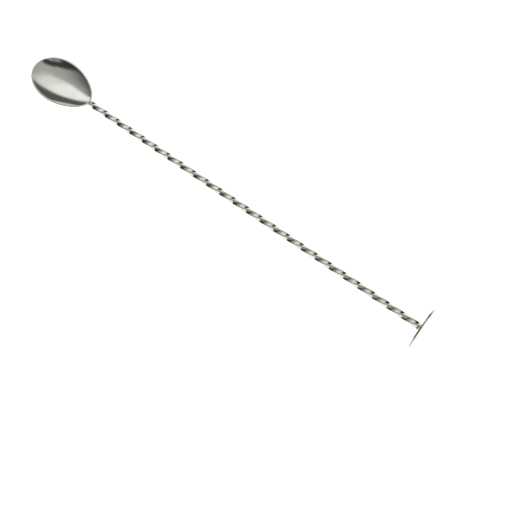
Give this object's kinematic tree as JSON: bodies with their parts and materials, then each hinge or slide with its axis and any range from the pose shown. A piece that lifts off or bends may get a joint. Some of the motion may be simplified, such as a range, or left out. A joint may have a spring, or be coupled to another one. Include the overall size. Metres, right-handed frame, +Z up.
{
  "type": "bar spoon",
  "caption": "Long twisted-stem bar spoon with an egg-shaped bowl at one end and a flat muddling disc at the other, all polished steel, lying face up.",
  "frame": {"origin": "under the middle of the spoon, on the flat surface that it lies on, face up", "axes": "+X from the bowl to the disc, +Y across the bowl, +Z up out of the bowl; XZ is the bowl's plane of symmetry"},
  "size_m": [0.2798, 0.0276, 0.024],
  "materials": {
    "bowl_steel": "mirror polished stainless steel with fine hairlines from use",
    "stem_steel": "bright polished stainless steel, faint drawing lines along the bar",
    "disc_steel": "polished stainless steel, turned on its faces",
    "silver_braze": "polished silver braze, slightly warmer than the steel"
  },
  "bodies": {
    "root": {"bowl": "bowl_steel", "twisted_stem": "stem_steel", "muddling_disc": "disc_steel", "heel_braze": "silver_braze", "disc_braze": "silver_braze"}
  },
  "joints": []
}
